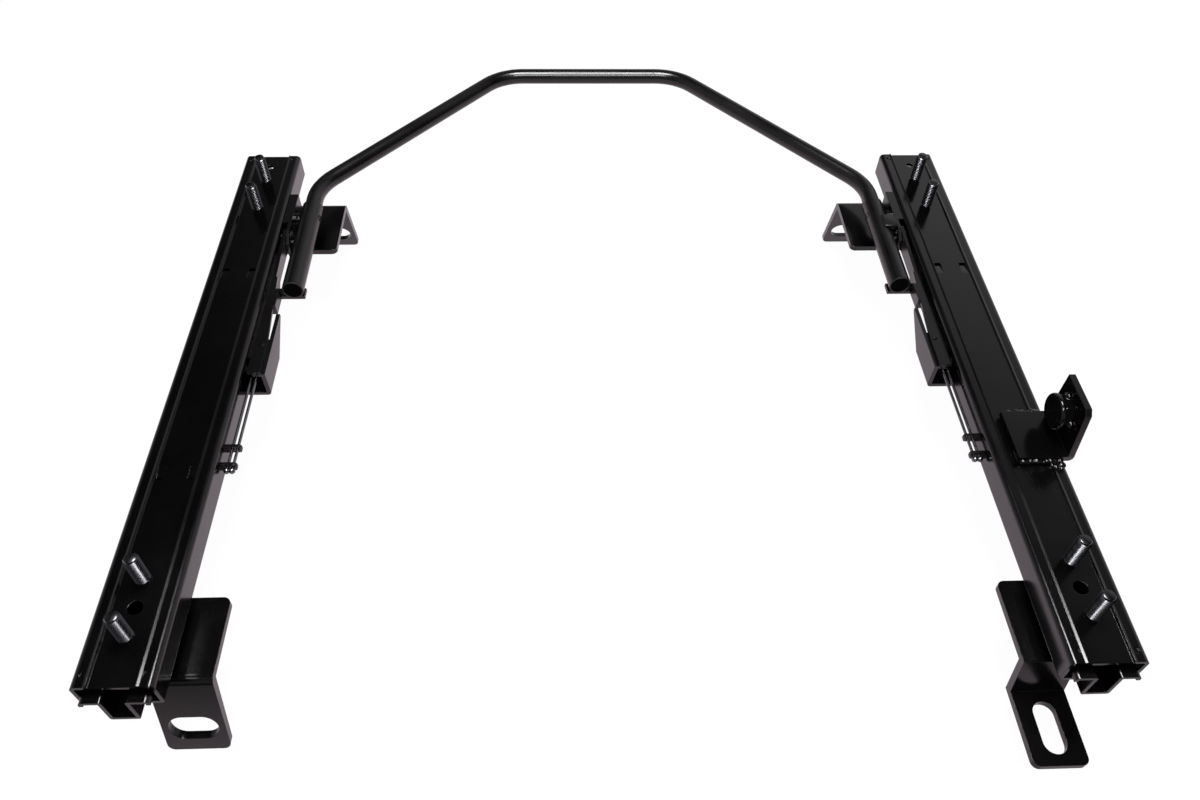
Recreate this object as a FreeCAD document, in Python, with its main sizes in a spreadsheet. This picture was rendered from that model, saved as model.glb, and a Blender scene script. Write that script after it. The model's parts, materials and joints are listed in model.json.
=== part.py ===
import FreeCAD, Part
import math
import os
import re

import Sketcher

# Seat slide rail: a pair of low slides with a towel-bar release handle between them.
# +X is to the right, +Y runs to the handle's bar, +Z is up, and sizes are in millimetres.
# The origin is the middle of the seat studs' rectangle, on the face the seat frame rests on.

SIZES = [
    ("rail_spacing", 484), ("rail_mid", 2),
    ("up_length", 420), ("up_half", 20), ("up_sheet", 2), ("side_drop", 18), ("shoulder_round", 3),
    ("recess_half", 11.2), ("ridge_half", 11.9), ("ridge_rise", 0.8), ("ridge_slope", 0.4),
    ("bead_rise", 0.5), ("bead_width", 1.3),
    ("lip_half", 11), ("lip_rise", 10), ("bend_round", 1.5),
    ("low_length", 430), ("low_sheet", 2), ("channel_half", 7.5), ("channel_depth", 19.3),
    ("ball_gap", 4.5), ("hook_half", 16.8), ("hook_drop", 3.8), ("hook_ease", 0.8),
    ("stud_half_span", 150), ("stud_pitch", 32), ("stud_radius", 4), ("stud_rise", 21.5),
    ("stud_head_radius", 5.2), ("stud_head", 1.5), ("stud_tip", 1), ("stud_collar", 4.3),
    ("seat_hole_radius", 4), ("pilot_hole_radius", 2.4), ("dent_radius", 1.6), ("dent_depth", 0.6),
    ("dent_half", 15), ("dent_inset", 6),
    ("stop_y", 82), ("stop_half", 8.65), ("stop_length", 10), ("stop_width", 4.5), ("stop_drop", 1.4),
    ("tooth_pitch", 10), ("tooth_width", 5), ("tooth_thick", 3),
    ("tooth_clear", 0.6), ("tooth_reach", 14.5), ("notch_count", 27), ("claw_y", 12), ("catch_clear", 0.5),
    ("pivot_drop", 7.5), ("pin_head", 1.6), ("lever_pivot_y", 128), ("handle_pivot_y", 147),
    ("lever_gap", 1.2), ("lever_sheet", 2.5), ("lever_eye", 5.5), ("lever_pin", 2.5), ("pin_clear", 0.05),
    ("arm_bottom", 14), ("lever_end_y", 6), ("flange_y", 84), ("flange_width", 5.6), ("flange_tip", 1),
    ("flange_sheet", 2),
    ("block_low_y", 56), ("block_high_y", 72), ("block_reach", 4.3), ("block_bottom", 13),
    ("claw_half", 15), ("claw_sheet", 2.5), ("claw_top", 7), ("claw_flange", 2), ("claw_clear", 1.5),
    ("web_y", 50),
    ("rivet_radius", 1.4), ("rivet_head", 1), ("lever_rivet_y", 20),
    ("bracket_sheet", 2), ("bracket_gap", 0.3), ("bracket_low_y", 118), ("bracket_high_y", 167),
    ("bracket_rise", 1.5), ("bracket_top", 0.5), ("bracket_slant", 8), ("bracket_fall", 17),
    ("rod_radius", 6), ("sleeve_radius", 7.2), ("sleeve_x", 206), ("sleeve_low_y", 73),
    ("sleeve_high_y", 160), ("sleeve_fit", 0.05), ("bend_y", 185), ("bar_y", 336.6), ("bar_half", 74.5),
    ("rod_bend", 40), ("rod_inset", 2),
    ("handle_pin", 3), ("handle_collar", 4.5), ("tab_clear", 0.3), ("tab_low_y", 75), ("tab_high_y", 83),
    ("wire_radius", 0.9), ("wire_spread", 3), ("wire_x", 217.5), ("wire_drop", 10.1), ("wire_rear_y", -76),
    ("wire_front_y", 1.5), ("ear_rear_y", -71), ("ear_front_y", -58), ("ear_sheet", 2), ("ear_reach", 8.5),
    ("ear_top", 7.4), ("ear_bottom", 12.8), ("wire_hole", 1.1),
    ("cage_length", 200), ("cage_sheet", 0.8), ("cage_width", 5), ("race_half", 13.6), ("ball_radius", 2.1),
    ("ball_fit", 0.1), ("ball_count", 6), ("ball_pitch", 36),
    ("foot_plate", 4), ("foot_drop", 50), ("foot_bend", 5), ("foot_outer_x", 252), ("foot_width", 33),
    ("foot_round", 4), ("slot_length", 26), ("slot_width", 16), ("slot_rise", 16),
    ("front_foot_x", 189), ("front_foot_low_y", 134), ("front_foot_high_y", 187), ("front_lean", 15.5),
    ("rear_foot_x", 205), ("rear_foot_low_y", -194), ("rear_foot_high_y", -147), ("rear_lean", 15.5),
    ("step_foot_x", 211.5), ("step_low_y", -240), ("step_y", -200), ("step_run", 5), ("step_high_y", -147),
    ("step_drop", 25), ("step_width", 29.5), ("step_slot_length", 28), ("step_slot_width", 12.5),
    ("step_slot_y", -220), ("foot_rivet", 3), ("foot_rivet_head", 4.6), ("foot_rivet_rise", 2),
    ("front_rivet_y", 148), ("rear_rivet_y", -184), ("foot_rivet_pitch", 24),
    ("anchor_low_y", -85), ("anchor_high_y", -50.5), ("anchor_lean", 5.5), ("anchor_inner_x", 234),
    ("anchor_sheet", 3.7), ("anchor_gap", 0.3), ("anchor_top", 37.5), ("anchor_corner", 3),
    ("anchor_bend", 3), ("anchor_nut_y", -64), ("anchor_nut_z", 21), ("anchor_thread", 5.55),
    ("nut_face_radius", 10), ("nut_face", 2), ("nut_corner", 9.8), ("nut_body", 6),
]

doc = FreeCAD.newDocument("seat_slide_rail")
sheet = doc.addObject("Spreadsheet::Sheet", "Dims")
for row, (alias, value) in enumerate(SIZES, start=1):
    sheet.set(f"A{row}", alias)
    sheet.set(f"B{row}", str(value))
    sheet.setAlias(f"B{row}", alias)
doc.recompute()
ALIASES = {alias for alias, value in SIZES}
NODES = []


def bound(text):
    """The expression with each size's name written as a cell of the sheet."""
    return re.sub(r"[a-z][a-z_]*", lambda m: f"Dims.{m[0]}" if m[0] in ALIASES else m[0], str(text))


def value(text):
    return float(sheet.evalExpression(bound(text)))


def part_body(name):
    body = doc.addObject("PartDesign::Body", name)
    body.Label = name
    NODES.append(body)
    return body


def plane(body, role):
    return next(item for item in body.Origin.OriginFeatures if item.Role == role)


# Each origin plane's normal, as the sign that an offset along it takes in model space.
NORMALS = {"XY_Plane": 1, "XZ_Plane": -1, "YZ_Plane": 1}


def new_sketch(body, role, place):
    sketch = body.newObject("Sketcher::SketchObject", f"{body.Name}_sketch")
    sketch.AttachmentSupport = [(plane(body, role), "")]
    sketch.MapMode = "FlatFace"
    sketch.setExpression(".AttachmentOffset.Base.z", bound(f"{NORMALS[role]} * ({place})"))
    return sketch


def hold(sketch, kind, *args):
    """Adds one constraint whose last argument is an expression in the sheet's sizes."""
    index = sketch.addConstraint(Sketcher.Constraint(kind, *args[:-1], value(args[-1])))
    sketch.setExpression(f"Constraints[{index}]", bound(args[-1]))


def draw_polygon(sketch, points):
    corners = [FreeCAD.Vector(value(x), value(y), 0) for x, y in points]
    first = sketch.GeometryCount
    for start, end in zip(corners, corners[1:] + corners[:1]):
        sketch.addGeometry(Part.LineSegment(start, end), False)
    for step, (x, y) in enumerate(points):
        line = first + step
        following = first + (step + 1) % len(points)
        sketch.addConstraint(Sketcher.Constraint("Coincident", line, 2, following, 1))
        hold(sketch, "DistanceX", line, 1, x)
        hold(sketch, "DistanceY", line, 1, y)


def draw_circle(sketch, x, y, radius):
    centre = FreeCAD.Vector(value(x), value(y), 0)
    line = sketch.addGeometry(Part.Circle(centre, FreeCAD.Vector(0, 0, 1), value(radius)), False)
    hold(sketch, "DistanceX", line, 3, x)
    hold(sketch, "DistanceY", line, 3, y)
    hold(sketch, "Radius", line, radius)


def finish_feature(body, feature, length):
    feature.setExpression("Length", bound(length))
    doc.recompute()
    return feature


def add_prism(body, role, points, low, high, circles=()):
    """Material between two places along the plane's axis."""
    place = high if NORMALS[role] < 0 else low
    sketch = new_sketch(body, role, place)
    if points:
        draw_polygon(sketch, points)
    for circle in circles:
        draw_circle(sketch, *circle)
    pad = body.newObject("PartDesign::Pad", f"{body.Name}_pad")
    pad.Profile = sketch
    return finish_feature(body, pad, f"({high}) - ({low})")


def cut_prism(body, role, points, low, high, circles=()):
    """A cut between two places along the plane's axis."""
    place = low if NORMALS[role] < 0 else high
    sketch = new_sketch(body, role, place)
    if points:
        draw_polygon(sketch, points)
    for circle in circles:
        draw_circle(sketch, *circle)
    pocket = body.newObject("PartDesign::Pocket", f"{body.Name}_pocket")
    pocket.Profile = sketch
    before = body.Shape.Volume
    finish_feature(body, pocket, f"({high}) - ({low})")
    if body.Shape.Volume >= before:
        raise RuntimeError(f"{body.Name}: a cut removed nothing")
    return pocket


def box_points(x_low, x_high, y_low, y_high):
    return [(x_low, y_low), (x_high, y_low), (x_high, y_high), (x_low, y_high)]


def round_edges(body, radius, chosen):
    """Fillets the edges of the body's last feature that a test picks."""
    base = body.Tip
    names = [f"Edge{n}" for n, edge in enumerate(base.Shape.Edges, start=1) if chosen(edge)]
    if not names:
        raise RuntimeError(f"{body.Name}: no edge to round")
    fillet = body.newObject("PartDesign::Fillet", f"{body.Name}_fillet")
    fillet.Base = (base, names)
    fillet.setExpression("Radius", bound(radius))
    doc.recompute()
    return fillet


def straight(edge, axis):
    """True for a straight edge along the axis 0, 1 or 2."""
    if not isinstance(edge.Curve, Part.Line):
        return False
    return abs(abs(edge.tangentAt(edge.FirstParameter)[axis]) - 1) < 1e-6


def lies_at(edge, axis, *places):
    """True for a straight edge along the axis that passes a place in the other two axes."""
    if not straight(edge, axis):
        return False
    middle = edge.CenterOfMass
    others = [middle[k] for k in range(3) if k != axis]
    wanted = [tuple(value(item) for item in place) for place in places]
    return any(math.dist(others, place) < 0.01 for place in wanted)


def mirrored(source, name):
    copy = doc.addObject("Part::Mirroring", name)
    copy.Label = name
    copy.Source = source
    copy.Normal = FreeCAD.Vector(1, 0, 0)
    doc.recompute()
    NODES.append(copy)
    return copy


def shaped(name, shape):
    feature = doc.addObject("Part::Feature", name)
    feature.Label = name
    feature.Shape = shape
    NODES.append(feature)
    return feature


def turned(profile):
    """A solid turned about Z from (radius, height) points, starting and ending on the axis."""
    points = [FreeCAD.Vector(value(radius), 0, value(height)) for radius, height in profile]
    outline = Part.makePolygon(points + points[:1])
    return Part.Face(outline).revolve(FreeCAD.Vector(), FreeCAD.Vector(0, 0, 1), 360)


def swept(points, bend, radius):
    """A round bar along straight runs joined by tangent arcs of one radius."""
    corners = [FreeCAD.Vector(*(value(item) for item in point)) for point in points]
    edges = []
    start = corners[0]
    for before, corner, after in zip(corners, corners[1:], corners[2:]):
        way_in = (before - corner).normalize()
        way_out = (after - corner).normalize()
        half = way_in.getAngle(way_out) / 2
        leg = value(bend) / math.tan(half)
        entry, leave = corner + way_in * leg, corner + way_out * leg
        middle = (way_in + way_out).normalize()
        crown = corner + middle * (value(bend) / math.sin(half) - value(bend))
        edges += [Part.LineSegment(start, entry).toShape(), Part.Arc(entry, crown, leave).toShape()]
        start = leave
    edges.append(Part.LineSegment(start, corners[-1]).toShape())
    route = Part.Wire(edges)
    section = Part.Wire(Part.makeCircle(value(radius), corners[0], corners[1] - corners[0]))
    return route.makePipeShell([section], True, False)


RAIL_X = "rail_spacing / 2"
UP_LOW, UP_HIGH = "rail_mid - up_length / 2", "rail_mid + up_length / 2"
LOW_LOW, LOW_HIGH = "rail_mid - low_length / 2", "rail_mid + low_length / 2"
FLANGE_TOP = "ridge_rise - up_sheet - ball_gap"
BASE_Z = f"({FLANGE_TOP} - channel_depth)"
HOOK_TIP = f"({FLANGE_TOP} - hook_drop)"
WALL_X = f"({RAIL_X} - up_half)"
PIVOT_Z = "(-1 * pivot_drop)"


def both_halves(half):
    """A closed outline about the rail's middle from its right half."""
    right = [(f"{RAIL_X} + {x}", z) for x, z in half]
    left = [(f"{RAIL_X} - ({x})", z) for x, z in reversed(half)]
    return right + left


def make_upper_rail():
    body = part_body("upper_rail_right")
    inner = "up_half - up_sheet"
    half = [
        ("recess_half", "0"), ("ridge_half", "ridge_rise + bead_rise"), 
        ("ridge_half + bead_width", "ridge_rise"), ("up_half", "ridge_rise"),
        ("up_half", "-1 * side_drop"), ("lip_half", "-1 * side_drop"), ("lip_half", "lip_rise - side_drop"),
        ("lip_half + up_sheet", "lip_rise - side_drop"), ("lip_half + up_sheet", "up_sheet - side_drop"),
        (inner, "up_sheet - side_drop"), (inner, "ridge_rise - up_sheet"),
        ("ridge_half + ridge_slope", "ridge_rise - up_sheet"), ("recess_half + ridge_slope", "-1 * up_sheet"),
    ]
    add_prism(body, "XZ_Plane", both_halves(half), UP_LOW, UP_HIGH)
    for reach, top, radius in (("up_half", "ridge_rise", "shoulder_round"),
                               (inner, "ridge_rise - up_sheet", "shoulder_round - up_sheet"),
                               ("up_half", "-1 * side_drop", "bend_round + up_sheet / 2"),
                               (inner, "up_sheet - side_drop", "bend_round - up_sheet / 2")):
        places = [(f"{RAIL_X} + {side} * ({reach})", top) for side in (1, -1)]
        round_edges(body, radius, lambda edge: lies_at(edge, 1, *places))
    studs = [(RAIL_X, y, "stud_collar") for y in STUD_PLACES]
    cut_prism(body, "XY_Plane", [], "-1.5 * up_sheet", "ridge_rise", studs)
    for y, radius in (("-1 * stud_half_span - stud_pitch / 2", "seat_hole_radius"),
                      (f"(stud_half_span + stud_pitch + stud_radius + {UP_HIGH}) / 2", "pilot_hole_radius")):
        cut_prism(body, "XY_Plane", [], "-1.5 * up_sheet", "ridge_rise", [(RAIL_X, y, radius)])
    dents = [(f"{RAIL_X} + {side} * dent_half", y, "dent_radius") for side in (-1, 1)
             for y in (f"{UP_LOW} + dent_inset", f"{UP_HIGH} - dent_inset")]
    cut_prism(body, "XY_Plane", [], "ridge_rise - dent_depth", "ridge_rise + dent_depth", dents)
    for side in (1, -1):
        for end in (1, -1):
            middle = f"{RAIL_X} + {side} * stop_half"
            points = box_points(f"{middle} - stop_width / 2", f"{middle} + stop_width / 2",
                                f"{end} * stop_y - stop_length / 2", f"{end} * stop_y + stop_length / 2")
            cut_prism(body, "XY_Plane", points, "-1.5 * up_sheet", "ridge_rise + up_sheet")
            tongue = [(f"{end} * (stop_y - stop_length / 2)", "0"),
                      (f"{end} * (stop_y - stop_length / 2)", "-0.8 * up_sheet"),
                      (f"{end} * (stop_y + stop_length / 3)", "-0.6 * up_sheet - stop_drop"),
                      (f"{end} * (stop_y + stop_length / 3)", "-1 * stop_drop + 0.2 * up_sheet")]
            add_prism(body, "YZ_Plane", tongue, f"{middle} - stop_width / 2", f"{middle} + stop_width / 2")
    for step in (-1, 0, 1):
        tooth = f"claw_y + {step} * tooth_pitch"
        window = box_points(f"{WALL_X} + up_sheet", f"{RAIL_X} - lip_half - up_sheet - tooth_clear / 2",
                            f"{tooth} - tooth_width / 2 - 1.5 * tooth_clear",
                            f"{tooth} + tooth_width / 2 + 1.5 * tooth_clear")
        cut_prism(body, "XY_Plane", window, "-1 * side_drop - up_sheet", "up_sheet * 2 - side_drop")
    cut_prism(body, "YZ_Plane", [], f"{WALL_X} - up_sheet", f"{WALL_X} + 2 * up_sheet",
              [("lever_pivot_y", PIVOT_Z, "lever_pin")])
    return body


STUD_PLACES = [f"{end} * (stud_half_span + {step} * stud_pitch)" for end in (-1, 1) for step in (0, 1)]


def make_lower_rail():
    body = part_body("lower_rail_right")
    inner = "channel_half - low_sheet"
    tip = "hook_half - low_sheet"
    half = [
        ("channel_half", BASE_Z), ("channel_half", f"{FLANGE_TOP} - low_sheet"),
        (tip, f"{FLANGE_TOP} - low_sheet"), (tip, HOOK_TIP), ("hook_half", HOOK_TIP),
        ("hook_half", FLANGE_TOP), (inner, FLANGE_TOP), (inner, f"{BASE_Z} + low_sheet"),
    ]
    add_prism(body, "XZ_Plane", both_halves(half), LOW_LOW, LOW_HIGH)
    for reach, top, radius in (("channel_half", BASE_Z, "bend_round"),
                               ("hook_half", FLANGE_TOP, "bend_round + up_sheet / 2"),
                               (inner, FLANGE_TOP, "bend_round")):
        places = [(f"{RAIL_X} + {side} * ({reach})", top) for side in (1, -1)]
        round_edges(body, radius, lambda edge: lies_at(edge, 1, *places))
    first = "claw_y - (notch_count - 1) / 2 * tooth_pitch"
    notch = box_points(f"{RAIL_X} - hook_half - low_sheet", f"{RAIL_X} - ({tip}) + hook_ease",
                       f"{first} - tooth_width / 2 - tooth_clear", f"{first} + tooth_width / 2 + tooth_clear")
    cut = cut_prism(body, "XY_Plane", notch, f"{HOOK_TIP} - low_sheet", f"{FLANGE_TOP} + low_sheet")
    row = body.newObject("PartDesign::LinearPattern", "lock_notches")
    row.Originals = [cut]
    row.Direction = (plane(body, "Y_Axis"), [""])
    row.setExpression("Length", bound("(notch_count - 1) * tooth_pitch"))
    row.setExpression("Occurrences", bound("notch_count"))
    body.Tip = row
    doc.recompute()
    rivets = [(RAIL_X, y, "foot_rivet") for y in RIVET_PLACES]
    cut_prism(body, "XY_Plane", [], f"{BASE_Z} - low_sheet", f"{BASE_Z} + 2 * low_sheet", rivets)
    return body


RIVET_PLACES = [f"{start} + {step} * foot_rivet_pitch" for start in ("front_rivet_y", "rear_rivet_y")
                for step in (0, 1)]


def make_studs():
    stud = turned([("0", "-1 * up_sheet - stud_head"), ("stud_head_radius", "-1 * up_sheet - stud_head"),
                   ("stud_head_radius", "-1 * up_sheet"), ("stud_collar", "-1 * up_sheet"),
                   ("stud_collar", "0"), ("stud_radius", "0"), ("stud_radius", "stud_rise - stud_tip"),
                   ("stud_radius - stud_tip", "stud_rise"), ("0", "stud_rise")])
    solids = [stud.translated(FreeCAD.Vector(value(RAIL_X), value(y), 0)) for y in STUD_PLACES]
    return shaped("seat_studs_right", Part.makeCompound(solids))


def make_foot_rivets():
    top, bottom = f"{BASE_Z} + low_sheet", f"{BASE_Z} - foot_plate"
    rivet = turned([("0", f"{bottom} - foot_rivet_rise"),
                    ("0.7 * foot_rivet_head", f"{bottom} - foot_rivet_rise"),
                    ("foot_rivet_head", bottom), ("foot_rivet", bottom), ("foot_rivet", top),
                    ("foot_rivet_head", top), ("0.7 * foot_rivet_head", f"{top} + foot_rivet_rise"),
                    ("0", f"{top} + foot_rivet_rise")])
    solids = [rivet.translated(FreeCAD.Vector(value(RAIL_X), value(y), 0)) for y in RIVET_PLACES]
    return shaped("foot_rivets_right", Part.makeCompound(solids))


def cut_slot(body, role, centre, half_run, half_width, low, high, along):
    """A slot with round ends, its long way along the sketch's first or second axis."""
    x, y = centre
    run = (f"({half_run} - {half_width})", "0") if along == 0 else ("0", f"({half_run} - {half_width})")
    wide = ("0", half_width) if along == 0 else (half_width, "0")
    points = [(f"{x} + {a} * {run[0]} + {b} * {wide[0]}", f"{y} + {a} * {run[1]} + {b} * {wide[1]}")
              for a, b in ((-1, -1), (1, -1), (1, 1), (-1, 1))]
    cut_prism(body, role, points, low, high)
    ends = [(f"{x} + {end} * {run[0]}", f"{y} + {end} * {run[1]}", half_width) for end in (-1, 1)]
    for end in ends:
        cut_prism(body, role, [], low, high, [end])


def make_angle_foot(name, inner_x, low_y, high_y, edge, lean, side):
    """A bent plate under the slide: a flat leaf and a slotted leaf that leans out and down."""
    body = part_body(name)
    top, under = BASE_Z, f"{BASE_Z} - foot_plate"
    far = f"{edge} + {side} * {lean}"
    leaf = f"{edge} - {side} * foot_plate"
    profile = [(high_y if side < 0 else low_y, top), (edge, top), (far, f"{BASE_Z} - foot_drop"),
               (f"{far} - {side} * foot_plate", f"{BASE_Z} - foot_drop"), (leaf, under),
               (high_y if side < 0 else low_y, under)]
    add_prism(body, "YZ_Plane", profile, inner_x, f"{inner_x} + foot_width")
    round_edges(body, "foot_bend", lambda edge_: lies_at(edge_, 0, (edge, top)))
    back = [low_y, leaf] if side > 0 else [leaf, high_y]
    add_prism(body, "XY_Plane", box_points(f"{inner_x} + foot_width / 2", "foot_outer_x", *back), under, top)
    slot_z = f"{BASE_Z} - foot_drop + slot_rise"
    near, away = f"{edge} - {side} * foot_drop / 2", f"{far} + {side} * foot_plate"
    cut_slot(body, "XZ_Plane", (f"{inner_x} + foot_width / 2", slot_z), "slot_length / 2", "slot_width / 2",
             *((near, away) if side > 0 else (away, near)), 0)
    lower = value(f"{BASE_Z} - foot_drop")
    round_edges(body, "foot_round", lambda item: abs(item.BoundBox.ZMin - item.BoundBox.ZMax) < 1e-6
                and abs(item.BoundBox.ZMin - lower) < 1e-3 and straight(item, 1))
    back_y = low_y if side > 0 else high_y
    round_edges(body, "foot_round", lambda item: lies_at(item, 2, (inner_x, back_y)))
    holes = [(RAIL_X, y, "foot_rivet") for y in (RIVET_PLACES[:2] if side > 0 else RIVET_PLACES[2:])]
    cut_prism(body, "XY_Plane", [], f"{under} - foot_plate", f"{top} + foot_plate", holes)
    return body


def make_step_foot():
    """The right rear foot: a flat leaf that steps down to a slotted one."""
    body = part_body("rear_foot_right")
    top, low = BASE_Z, f"{BASE_Z} - step_drop"
    profile = [("step_high_y", top), ("step_y + step_run", top), ("step_y", low), ("step_low_y", low),
               ("step_low_y", f"{low} - foot_plate"), ("step_y + foot_plate", f"{low} - foot_plate"),
               ("step_y + step_run + foot_plate", f"{top} - foot_plate"),
               ("step_high_y", f"{top} - foot_plate")]
    add_prism(body, "YZ_Plane", profile, "step_foot_x", "step_foot_x + step_width")
    leaf = box_points("step_foot_x + step_width / 2", "foot_outer_x", "step_y + step_run + foot_plate",
                      "step_high_y")
    add_prism(body, "XY_Plane", leaf, f"{top} - foot_plate", top)
    cut_slot(body, "XY_Plane", ("step_foot_x + step_width / 2", "step_slot_y"), "step_slot_length / 2",
             "step_slot_width / 2", f"{low} - 2 * foot_plate", f"{low} + foot_plate", 1)
    end = value("step_low_y")
    round_edges(body, "foot_round", lambda edge: (straight(edge, 2) and abs(edge.CenterOfMass.y - end) < 1e-3)
                or lies_at(edge, 2, ("step_foot_x", "step_high_y")))
    holes = [(RAIL_X, y, "foot_rivet") for y in RIVET_PLACES[2:]]
    cut_prism(body, "XY_Plane", [], f"{top} - 2 * foot_plate", f"{top} + foot_plate", holes)
    return body


def make_latch_bracket():
    """A folded plate on the inner wall: it carries the lever's pin and the handle's pin."""
    body = part_body("latch_bracket_right")
    inner = f"{WALL_X} - lever_gap - lever_sheet - bracket_gap"
    top = "-1 * bracket_top"
    outline = [("bracket_low_y", "bracket_rise - pivot_drop"), ("bracket_low_y + bracket_slant", top),
               ("bracket_high_y", top), ("bracket_high_y", "-1 * bracket_fall"),
               ("bracket_low_y", "-1 * bracket_fall")]
    add_prism(body, "YZ_Plane", outline, f"{inner} - bracket_sheet", inner)
    end_wall = box_points(f"{inner} - bracket_sheet", WALL_X, "bracket_high_y - bracket_sheet",
                          "bracket_high_y")
    add_prism(body, "XY_Plane", end_wall, "-1 * bracket_fall", top)
    strap = box_points(f"{inner} - bracket_sheet", WALL_X, "lever_pivot_y + lever_eye + bracket_sheet",
                       "bracket_high_y")
    add_prism(body, "XY_Plane", strap, f"{top} - bracket_sheet", top)
    for y, radius in (("lever_pivot_y", "lever_pin"), ("handle_pivot_y", "handle_pin")):
        cut_prism(body, "YZ_Plane", [], f"{inner} - 2 * bracket_sheet", f"{inner} + bracket_sheet",
                  [(y, PIVOT_Z, radius)])
    return body


def along_x(solid, x, y, z):
    """Turns a solid made about Z so that it lies about X, pointing to +X."""
    turned_solid = solid.copy()
    turned_solid.rotate(FreeCAD.Vector(), FreeCAD.Vector(0, 1, 0), 90)
    return turned_solid.translated(FreeCAD.Vector(value(x), value(y), value(z)))


def make_lever_pivot():
    outer = f"{WALL_X} - lever_gap - lever_sheet - bracket_gap - bracket_sheet"
    length = f"{WALL_X} + up_sheet - ({outer})"
    pin = turned([("0", "-1 * pin_head"), ("1.2 * lever_pin", "-1 * pin_head"), ("1.7 * lever_pin", "0"),
                  ("lever_pin", "0"), ("lever_pin", length), ("0", length)])
    return shaped("lever_pivot_right", along_x(pin, outer, "lever_pivot_y", PIVOT_Z))


def make_handle_pivot():
    plate = f"{WALL_X} - lever_gap - lever_sheet - bracket_gap - bracket_sheet"
    inside = f"{plate} - (sleeve_x - sleeve_radius)"
    collar = f"{plate} - (sleeve_x + sleeve_radius) - bracket_gap"
    pin = turned([("0", f"-1 * ({inside})"), ("handle_pin", f"-1 * ({inside})"),
                  ("handle_pin", f"-1 * ({collar})"), ("handle_collar", f"-1 * ({collar})"),
                  ("handle_collar", "0"), ("handle_pin", "0"),
                  ("handle_pin", "bracket_sheet"), ("1.4 * handle_pin", "bracket_sheet"),
                  ("handle_pin", "1.5 * bracket_sheet"), ("0", "1.5 * bracket_sheet")])
    return shaped("handle_pivot_right", along_x(pin, plate, "handle_pivot_y", PIVOT_Z))


def make_lever():
    """The lock lever: an upright arm beside the wall with a folded edge and a tab under the sleeve."""
    body = part_body("lock_lever_right")
    low, high = f"{WALL_X} - lever_gap - lever_sheet", f"{WALL_X} - lever_gap"
    tab_top = f"{PIVOT_Z} - sleeve_radius - tab_clear"
    tab_under = f"{tab_top} - lever_sheet"
    arm = [("lever_pivot_y", f"{PIVOT_Z} + lever_eye"), ("flange_y", FOLD_TOP), ("lever_end_y", FOLD_TOP),
           ("lever_end_y", "-1 * arm_bottom"), ("tab_low_y - lever_eye", "-1 * arm_bottom"),
           ("tab_low_y", tab_under), ("tab_high_y", tab_under), ("tab_high_y + lever_eye", "-1 * arm_bottom"),
           ("lever_pivot_y", f"{PIVOT_Z} - lever_eye")]
    add_prism(body, "YZ_Plane", arm, low, high)
    add_prism(body, "YZ_Plane", [], low, high, [("lever_pivot_y", PIVOT_Z, "lever_eye")])
    fold = [(high, "flange_y"), (f"{low} - flange_tip", "flange_y"),
            (f"{low} - flange_width", "lever_rivet_y"),
            (f"{low} - flange_width", "claw_y - claw_half"), (high, "claw_y - claw_half")]
    add_prism(body, "XY_Plane", fold, "-1 * claw_top", FOLD_TOP)
    add_prism(body, "XY_Plane", box_points("sleeve_x - rod_radius", high, "tab_low_y", "tab_high_y"),
              tab_under, tab_top)
    add_prism(body, "XY_Plane", box_points(f"{low} - block_reach", high, "block_low_y", "block_high_y"),
              "-1 * block_bottom", FOLD_TOP)
    cut_prism(body, "YZ_Plane", [], f"{low} - lever_gap", f"{high} + lever_gap",
              [("lever_pivot_y", PIVOT_Z, "lever_pin + pin_clear")])
    rivet = [(f"{low} - flange_width / 2", "lever_rivet_y", "rivet_radius")]
    cut_prism(body, "XY_Plane", [], "-1 * claw_top - flange_sheet", f"{FOLD_TOP} + flange_sheet", rivet)
    return body


def make_claw():
    """The catch under the lever: a C of plate whose teeth stand up through the rail's lip."""
    body = part_body("lock_claw_right")
    arm = f"{WALL_X} - lever_gap - lever_sheet"
    outer = f"{arm} - flange_width"
    low = f"-1 * side_drop - {LOCK_LIFT} - claw_clear"
    inner_tooth = f"{RAIL_X} - tooth_reach"
    under = f"{low} - claw_sheet"
    fold_under = "-1 * claw_top - claw_flange"
    profile = [(f"{outer} - claw_sheet", "-1 * claw_top"), (arm, "-1 * claw_top"), (arm, fold_under),
               (outer, fold_under), (outer, low), (inner_tooth, low), (inner_tooth, under),
               (f"{outer} - claw_sheet", under)]
    add_prism(body, "XZ_Plane", profile, "claw_y - claw_half", "claw_y + claw_half")
    round_edges(body, "claw_sheet", lambda edge: lies_at(edge, 1, (f"{outer} - claw_sheet", under)))
    web = [("claw_y", "-1 * claw_top"), ("web_y", "-1 * claw_top"), ("web_y", fold_under),
           ("claw_y + claw_half", low), ("claw_y", low)]
    add_prism(body, "YZ_Plane", web, f"{outer} - claw_sheet", outer)
    for step in (-1, 0, 1):
        middle = f"claw_y + {step} * tooth_pitch"
        tooth = box_points(f"{inner_tooth} - tooth_thick", inner_tooth, f"{middle} - tooth_width / 2",
                           f"{middle} + tooth_width / 2")
        add_prism(body, "XY_Plane", tooth, under, f"{HOOK_TIP} - catch_clear")
    rivet = [(f"{arm} - flange_width / 2", "lever_rivet_y", "rivet_radius")]
    cut_prism(body, "XY_Plane", [], "-1 * claw_top - 2 * claw_flange", "claw_flange - claw_top", rivet)
    return body


# The lever's folded edge lies on the claw's top, and the teeth rise from under the hook to its top.
FOLD_TOP = "(flange_sheet - claw_top)"
LOCK_LIFT = "(hook_drop + catch_clear)"


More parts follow.
